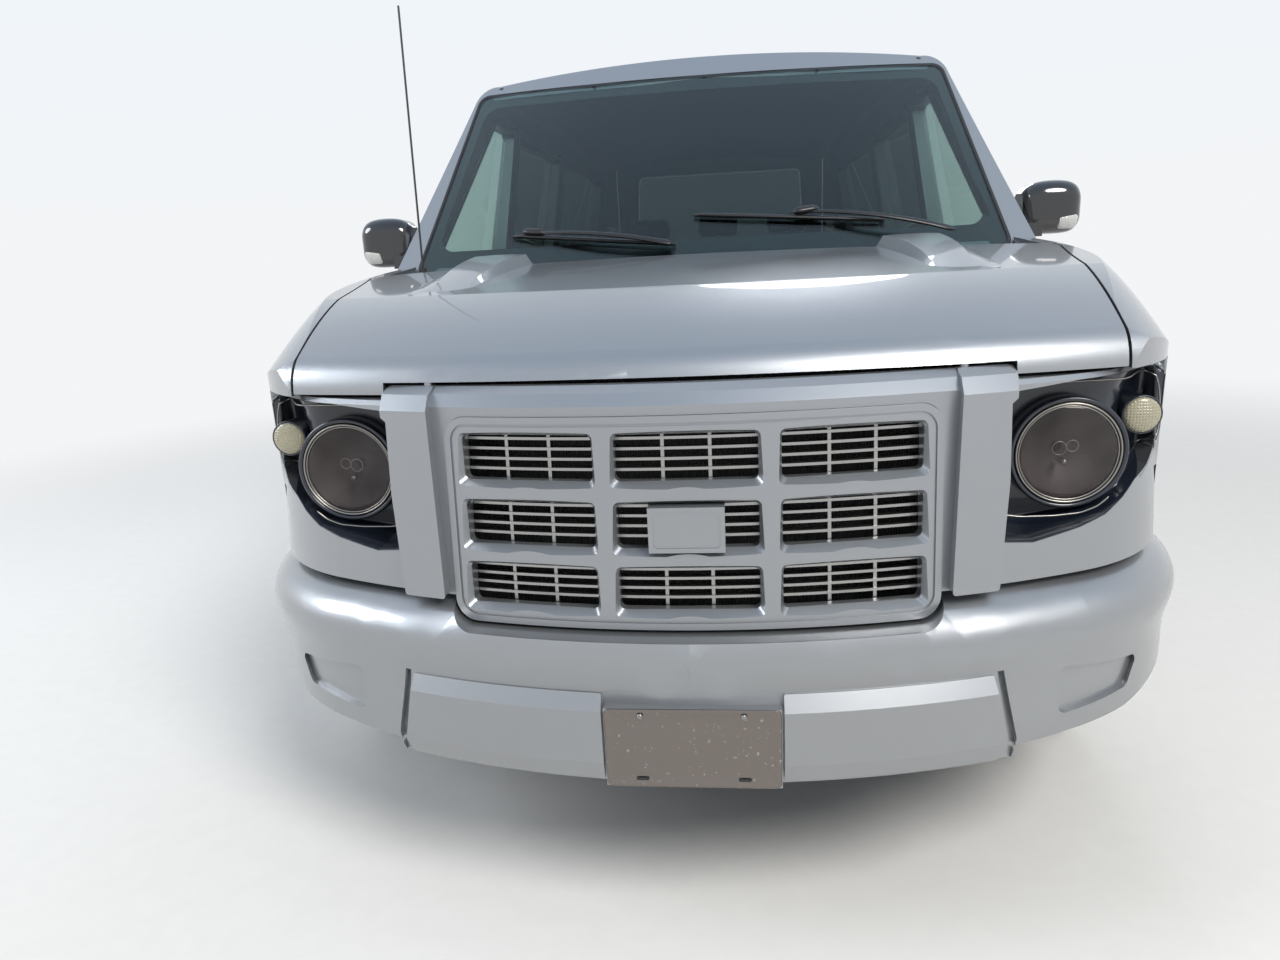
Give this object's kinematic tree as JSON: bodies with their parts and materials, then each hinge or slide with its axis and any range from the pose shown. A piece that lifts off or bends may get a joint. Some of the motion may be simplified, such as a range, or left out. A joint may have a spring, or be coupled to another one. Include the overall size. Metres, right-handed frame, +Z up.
{
  "type": "wheelchair accessible van",
  "caption": "Silver body-on-frame van with a short hood, upright cell grille, round lamps, hinged doors and a ramp that slides out under the floor.",
  "frame": {"origin": "on the ground under the centre of the van's box", "axes": "+Z up, nose towards -Y, driver's side towards +X"},
  "size_m": [2.284, 5.2018, 1.9735],
  "materials": {
    "paint_silver": "metallic silver paint",
    "paint_grille": "metallic silver paint",
    "chrome_bars": "bright metal",
    "lamp_front": "black housing with clear lens",
    "lamp_rear": "red lens",
    "glass_screen": "green-tinted glass",
    "glass_dark": "privacy glass",
    "frame_black": "black frame paint",
    "floor_grey": "grey floor covering",
    "trim_black": "black grained plastic",
    "cap_black": "gloss black",
    "dash_grey": "grained dark grey plastic",
    "seat_cloth": "dark grey seat cloth",
    "engine_cast": "cast metal",
    "steel_dark": "black-coated steel",
    "rim_alloy": "painted alloy",
    "tyre_rubber": "tyre rubber",
    "ramp_alloy": "ribbed aluminium"
  },
  "bodies": {
    "chassis": {"frame": "frame_black", "floor": "floor_grey", "body_sides": "paint_silver", "roof": "paint_silver", "cowl": "trim_black", "dashboard": "dash_grey", "fenders": "paint_silver", "fascia": "paint_silver", "grille": "paint_grille", "grille_bars": "chrome_bars", "headlamps": "lamp_front", "bumper_front": "paint_silver", "bumper_rear": "paint_silver", "tail_lamps": "lamp_rear", "windshield": "glass_screen", "quarter_glasses": "glass_dark", "engine": "engine_cast", "driveline": "steel_dark", "suspension_front": "steel_dark", "axle_rear": "steel_dark", "seats": "seat_cloth", "wipers": "trim_black", "antenna": "trim_black"},
    "hood": {"hood": "paint_silver"},
    "tailgate": {"tailgate": "paint_silver", "tailgate_glass": "glass_dark"},
    "ramp": {"ramp": "ramp_alloy"},
    "steering_wheel": {"steering_wheel": "dash_grey"},
    "door_front_left": {"door_front_left": "paint_silver", "door_front_glass_left": "glass_screen", "mirror_left": "cap_black"},
    "door_rear_left": {"door_rear_left": "paint_silver", "door_rear_glass_left": "glass_dark"},
    "knuckle_left": {"knuckle_left": "steel_dark"},
    "wheel_front_left": {"tyre_front_left": "tyre_rubber", "rim_front_left": "rim_alloy"},
    "wheel_rear_left": {"tyre_rear_left": "tyre_rubber", "rim_rear_left": "rim_alloy"},
    "door_front_right": {"door_front_right": "paint_silver", "door_front_glass_right": "glass_screen", "mirror_right": "cap_black"},
    "door_rear_right": {"door_rear_right": "paint_silver", "door_rear_glass_right": "glass_dark"},
    "knuckle_right": {"knuckle_right": "steel_dark"},
    "wheel_front_right": {"tyre_front_right": "tyre_rubber", "rim_front_right": "rim_alloy"},
    "wheel_rear_right": {"tyre_rear_right": "tyre_rubber", "rim_rear_right": "rim_alloy"}
  },
  "joints": [
    {"name": "steer_left", "type": "hinge", "parent": "chassis", "child": "knuckle_left", "pos_m": [0.745, -1.6485, 0.368], "axis": [0, 0, 1], "range_deg": [-32, 32]},
    {"name": "wheel_front_left_spin", "type": "hinge", "parent": "knuckle_left", "child": "wheel_front_left", "pos_m": [0.84, -1.6485, 0.368], "axis": [1, 0, 0], "continuous": true},
    {"name": "wheel_rear_left_spin", "type": "hinge", "parent": "chassis", "child": "wheel_rear_left", "pos_m": [0.84, 1.2975, 0.368], "axis": [1, 0, 0], "continuous": true},
    {"name": "door_front_left_open", "type": "hinge", "parent": "chassis", "child": "door_front_left", "pos_m": [1.0025, -1.1835, 0.9], "axis": [0, 0, -1], "range_deg": [0, 65]},
    {"name": "door_rear_left_open", "type": "hinge", "parent": "chassis", "child": "door_rear_left", "pos_m": [1.0025, -0.1505, 0.9], "axis": [0, 0, -1], "range_deg": [0, 75]},
    {"name": "steer_right", "type": "hinge", "parent": "chassis", "child": "knuckle_right", "pos_m": [-0.745, -1.6485, 0.368], "axis": [0, 0, 1], "range_deg": [-32, 32]},
    {"name": "wheel_front_right_spin", "type": "hinge", "parent": "knuckle_right", "child": "wheel_front_right", "pos_m": [-0.84, -1.6485, 0.368], "axis": [1, 0, 0], "continuous": true},
    {"name": "wheel_rear_right_spin", "type": "hinge", "parent": "chassis", "child": "wheel_rear_right", "pos_m": [-0.84, 1.2975, 0.368], "axis": [1, 0, 0], "continuous": true},
    {"name": "door_front_right_open", "type": "hinge", "parent": "chassis", "child": "door_front_right", "pos_m": [-1.0025, -1.1835, 0.9], "axis": [0, 0, 1], "range_deg": [0, 65]},
    {"name": "door_rear_right_open", "type": "hinge", "parent": "chassis", "child": "door_rear_right", "pos_m": [-1.0025, -0.1505, 0.9], "axis": [0, 0, 1], "range_deg": [0, 75]},
    {"name": "hood_open", "type": "hinge", "parent": "chassis", "child": "hood", "pos_m": [0, -1.4685, 1.235], "axis": [-1, 0, 0], "range_deg": [0, 50]},
    {"name": "tailgate_open", "type": "hinge", "parent": "chassis", "child": "tailgate", "pos_m": [0, 2.3945, 1.945], "axis": [1, 0, 0], "range_deg": [0, 82]},
    {"name": "ramp_slide", "type": "slide", "parent": "chassis", "child": "ramp", "axis": [-1, 0, 0], "range_m": [0, 1.05]},
    {"name": "steering_wheel_turn", "type": "hinge", "parent": "chassis", "child": "steering_wheel", "pos_m": [0.4, -0.89401, 1.05479], "axis": [0, -0.9061, -0.423], "range_deg": [-480, 480]}
  ],
  "couplings": [
    {"joint": "steer_right", "follows": "steer_left", "ratio": 1},
    {"joint": "steering_wheel_turn", "follows": "steer_left", "ratio": -14}
  ]
}
